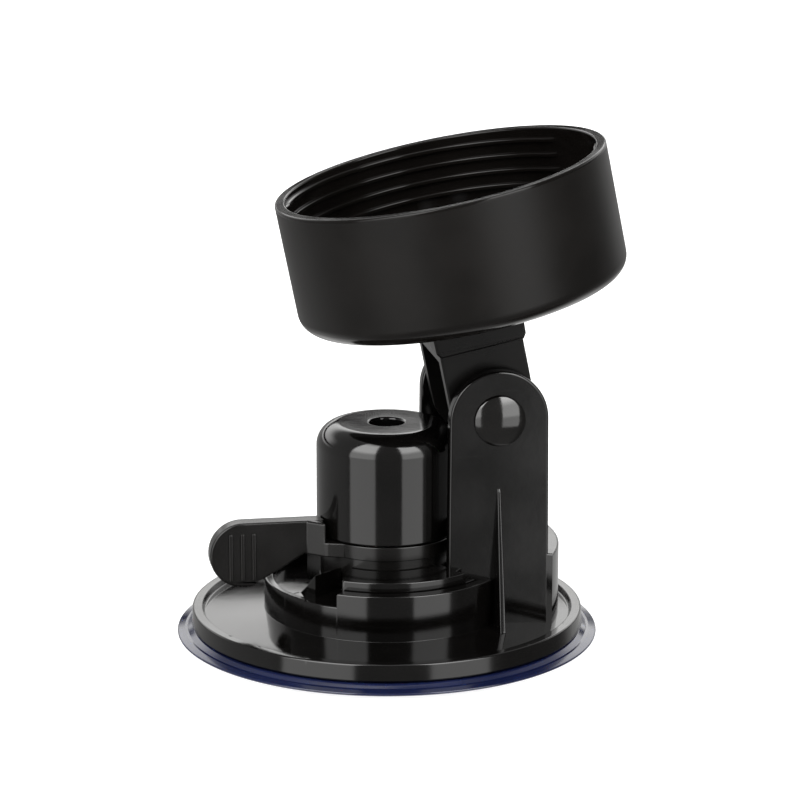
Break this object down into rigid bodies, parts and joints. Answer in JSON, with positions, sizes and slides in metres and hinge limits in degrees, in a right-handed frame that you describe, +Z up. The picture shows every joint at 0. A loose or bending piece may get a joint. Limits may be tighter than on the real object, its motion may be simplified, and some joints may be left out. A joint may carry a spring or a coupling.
{
  "type": "suction cup dashboard mount with tilting threaded cup",
  "caption": "Suction mount with a twist-lock lever, a capped tower and a U bracket that holds a tilting, internally threaded round cup.",
  "frame": {"origin": "centre of the suction cup's underside, which is the surface that the mount sticks to", "axes": "+Z up along the tower; the tilt pivot runs along Y through the two ears, which stand on the +X side; the cup tilts towards -X and the lever points to -X"},
  "size_m": [0.0956, 0.09, 0.1073],
  "materials": {
    "gloss_black_abs": "polished injection-moulded black ABS",
    "satin_black_abs": "satin injection-moulded black ABS",
    "suction_pvc": "smooth tinted soft PVC, dark navy",
    "acetal": "plain natural acetal",
    "zinc_steel": "bright zinc plating",
    "black_steel": "gloss black coated steel"
  },
  "bodies": {
    "base": {"suction_cup": "suction_pvc", "base_housing": "gloss_black_abs", "pivot_bolt": "black_steel", "pivot_washer": "zinc_steel", "pivot_spring_washer": "zinc_steel", "pivot_nut": "zinc_steel", "friction_washer_near": "acetal", "friction_washer_far": "acetal"},
    "lift": {"stem_post": "acetal", "stem_screw": "zinc_steel", "screw_washer": "zinc_steel", "tower_cap": "gloss_black_abs", "thrust_washer": "acetal"},
    "lever": {"lever_rotor": "gloss_black_abs"},
    "cup": {"cup_shell": "gloss_black_abs", "cup_knuckle": "satin_black_abs", "pivot_bush": "acetal", "cup_screw_1": "zinc_steel", "cup_screw_2": "zinc_steel", "cup_screw_3": "zinc_steel", "cup_screw_4": "zinc_steel"}
  },
  "joints": [
    {"name": "cup_tilt", "type": "hinge", "parent": "base", "child": "cup", "pos_m": [0.0208, 0, 0.0502], "axis": [0, -1, 0], "range_deg": [0, 38.5]},
    {"name": "cam_drop", "type": "slide", "parent": "base", "child": "lift", "axis": [0, 0, -1], "range_m": [0, 0.002]},
    {"name": "lever_turn", "type": "hinge", "parent": "lift", "child": "lever", "pos_m": [0, 0, 0.022], "axis": [0, 0, -1], "range_deg": [0, 50]}
  ],
  "couplings": [
    {"joint": "lever_turn", "follows": "cam_drop", "rad_per_m": 436.33}
  ]
}
